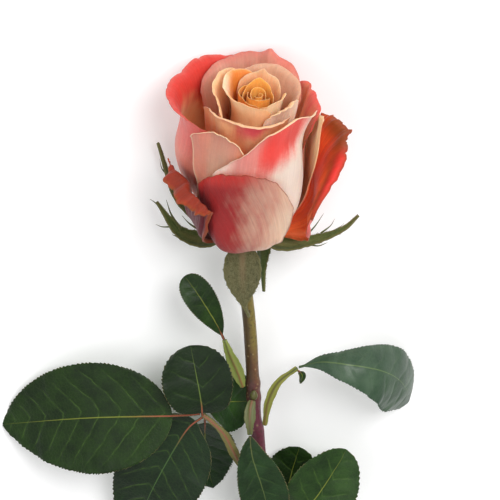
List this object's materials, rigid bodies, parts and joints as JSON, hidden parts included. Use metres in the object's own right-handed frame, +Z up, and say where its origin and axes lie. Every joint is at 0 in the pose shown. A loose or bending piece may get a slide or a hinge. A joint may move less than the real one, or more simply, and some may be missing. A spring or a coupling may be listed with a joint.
{
  "type": "cut rose",
  "caption": "Cut rose lying on its back, with layered coral and cream petals, reflexed sepals, a bare lower stem and toothed compound leaves.",
  "frame": {"origin": "centre of the lying flower's box, on the surface that it rests on", "axes": "+Y along the stem towards the bloom, +Z up from the surface, +X to the flower's right"},
  "size_m": [0.1498, 0.3008, 0.0557],
  "materials": {
    "inner_petal": "soft matt petal, peach to ochre",
    "outer_petal": "soft satin petal, cream to coral",
    "guard_petal": "satin petal, veined, coral red to cream",
    "sepal": "velvety green",
    "leaf": "glossy dark green leaf with pale veins",
    "leaf_stalk": "reddish to yellow-green stalk",
    "stem": "smooth olive to brown and purple-red bark"
  },
  "bodies": {
    "root": {"leaf_front_blade": "leaf", "leaf_left_behind_down": "leaf", "leaf_left_behind_up": "leaf", "leaf_left_lower": "leaf", "leaf_left_terminal": "leaf", "leaf_left_upper": "leaf", "leaf_low_behind": "leaf", "leaf_low_left": "leaf", "leaf_low_right": "leaf", "leaf_low_terminal": "leaf", "leaf_right_blade": "leaf", "leaf_right_leaflet": "leaf", "leaf_upper_blade": "leaf", "petal_back": "outer_petal", "petal_core_1": "inner_petal", "petal_core_2": "inner_petal", "petal_core_3": "inner_petal", "petal_core_4": "inner_petal", "petal_core_5": "inner_petal", "petal_front_blush": "outer_petal", "petal_front_left": "outer_petal", "petal_front_right": "outer_petal", "petal_guard_back": "guard_petal", "petal_guard_front": "guard_petal", "petal_guard_left": "guard_petal", "petal_guard_right": "guard_petal", "petal_guard_right_inner": "guard_petal", "petal_heart_back": "inner_petal", "petal_heart_left": "inner_petal", "petal_heart_right": "inner_petal", "petal_left_cup": "outer_petal", "petal_right_cup": "outer_petal", "petal_ring_back": "outer_petal", "petal_ring_left": "outer_petal", "petal_ring_right": "outer_petal", "petal_under_front": "outer_petal", "sepal_back_left": "sepal", "sepal_back_right": "sepal", "sepal_front": "sepal", "sepal_left": "sepal", "sepal_right": "sepal", "stalk_front": "leaf_stalk", "stalk_left": "leaf_stalk", "stalk_low": "leaf_stalk", "stalk_right": "leaf_stalk", "stalk_upper": "leaf_stalk", "stem": "stem"}
  },
  "joints": []
}
